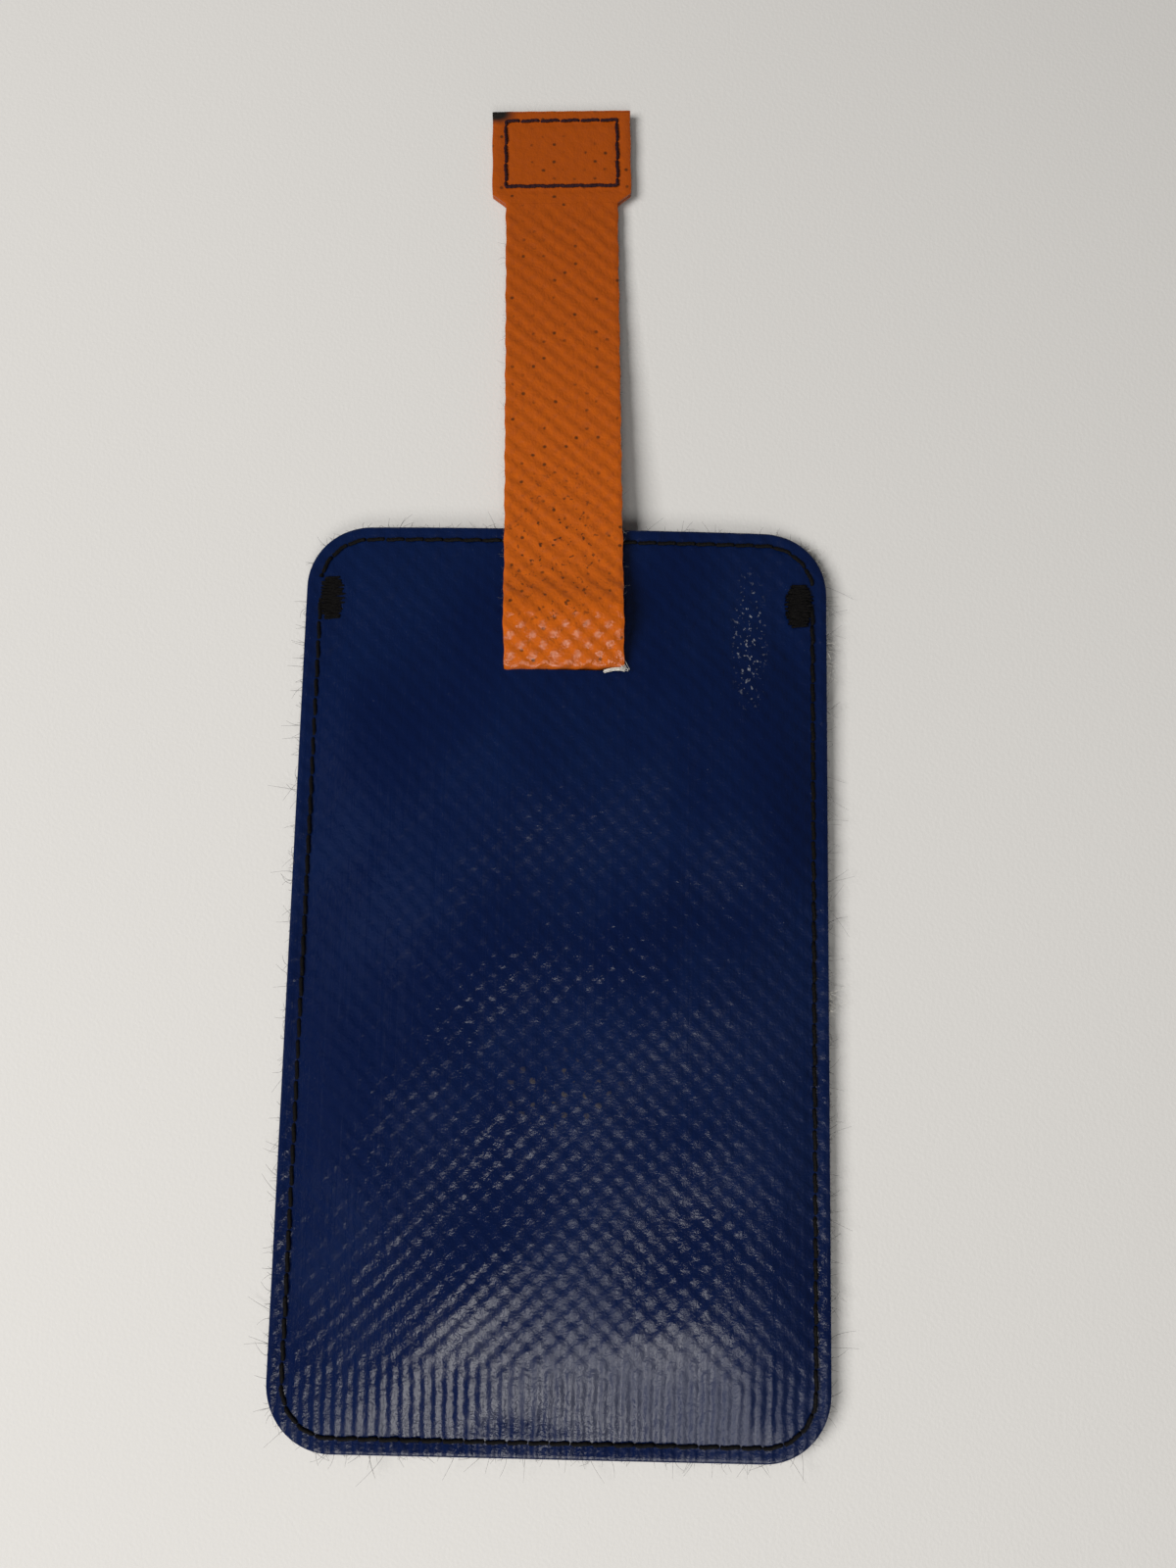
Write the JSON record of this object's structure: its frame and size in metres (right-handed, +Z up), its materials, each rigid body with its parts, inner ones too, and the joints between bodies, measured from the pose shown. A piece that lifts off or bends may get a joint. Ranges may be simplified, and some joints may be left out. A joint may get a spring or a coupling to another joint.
{
  "type": "luggage tag sleeve",
  "caption": "Flat sewn tarpaulin pocket sleeve with rounded corners, an open mouth, bar tacks and a strap that comes out through a slit and ends in a sewn T-shaped stop tab.",
  "frame": {"origin": "middle of the back panel's outer face, on the table", "axes": "+X across the sleeve to its right side seen from the front, +Y along it from the closed end to the mouth and the strap's tab, +Z up out of the front"},
  "size_m": [0.084, 0.2173, 0.0067],
  "materials": {
    "blue_tarp": "navy coated woven tarpaulin, glossy, worn on the crowns of the weave",
    "orange_tarp": "orange coated woven tarpaulin, half matt, with dirt in the weave",
    "lining_felt": "charcoal felted lining",
    "black_thread": "black bonded sewing thread",
    "tab_thread": "very dark sewing thread"
  },
  "bodies": {
    "sleeve": {"back_panel": "blue_tarp", "back_lining": "lining_felt", "front_lining": "lining_felt", "front_panel": "blue_tarp", "side_seam_needle_thread": "black_thread", "side_seam_bobbin_thread": "black_thread", "front_mouth_thread": "black_thread", "back_mouth_thread": "black_thread", "left_bar_tack": "black_thread", "right_bar_tack": "black_thread", "strap_loop": "orange_tarp", "anchor_thread": "tab_thread"},
    "strap": {"strap_bend": "orange_tarp", "pull_strap": "orange_tarp"},
    "tab": {"stop_tab": "orange_tarp", "tab_needle_thread": "tab_thread", "tab_bobbin_thread": "tab_thread"}
  },
  "joints": [
    {"name": "strap_lift", "type": "hinge", "parent": "sleeve", "child": "strap", "pos_m": [0, 0.048, 0.00524], "axis": [0.9996, 0.0279, 0], "range_deg": [0, 160]},
    {"name": "strap_pull", "type": "slide", "parent": "strap", "child": "tab", "axis": [0.0279, -0.9972, 0.0698], "range_m": [0, 0.045], "deforming": ["pull_strap"]}
  ]
}
